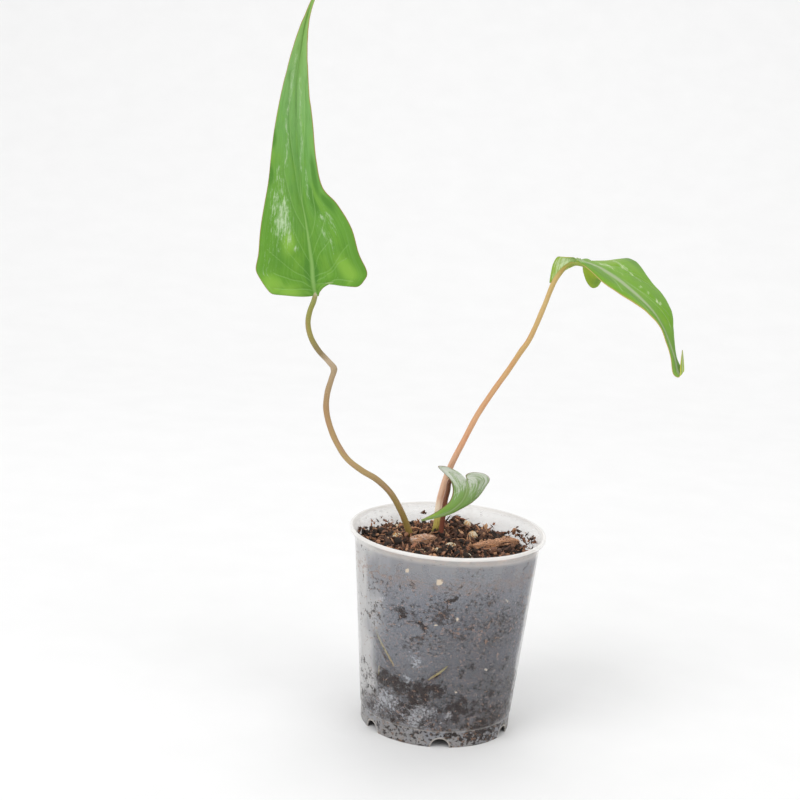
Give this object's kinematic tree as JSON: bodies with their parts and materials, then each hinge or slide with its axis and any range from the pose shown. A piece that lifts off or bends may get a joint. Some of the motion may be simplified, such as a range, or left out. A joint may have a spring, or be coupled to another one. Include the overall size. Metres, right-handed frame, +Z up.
{
  "type": "potted philodendron brevispathum",
  "caption": "Young aroid house plant with long lance-shaped leaves on thin stalks, growing from a bark mix in a clear tapered nursery pot.",
  "frame": {"origin": "centre of the pot's base, on the plane that it stands on", "axes": "+Z up along the pot's axis; +X towards the hanging leaf; the front of the plant faces -Y"},
  "size_m": [0.2179, 0.1081, 0.3827],
  "materials": {
    "clear_polypropylene": "frosted, translucent",
    "bark_mix": "damp, crumbly",
    "bark": "rough, fibrous",
    "pumice": "porous, dusty",
    "stem": "smooth, waxy",
    "petiole_green": "smooth, waxy",
    "petiole_tan": "smooth, waxy",
    "petiole_red": "smooth, waxy",
    "leaf_green": "satin, waxy",
    "leaf_young": "satin with a silvery sheen"
  },
  "bodies": {
    "root": {"pot": "clear_polypropylene", "substrate": "bark_mix", "stem_and_roots": "stem", "petiole_left": "petiole_green", "petiole_right": "petiole_tan", "petiole_small": "petiole_red", "blade_left": "leaf_green", "blade_right": "leaf_green", "blade_small": "leaf_young", "bark_stick": "bark", "bark_chip": "bark", "pumice_1": "pumice", "pumice_2": "pumice", "pumice_3": "pumice", "pumice_4": "pumice", "pumice_5": "pumice", "pumice_6": "pumice", "pumice_7": "pumice"}
  },
  "joints": []
}
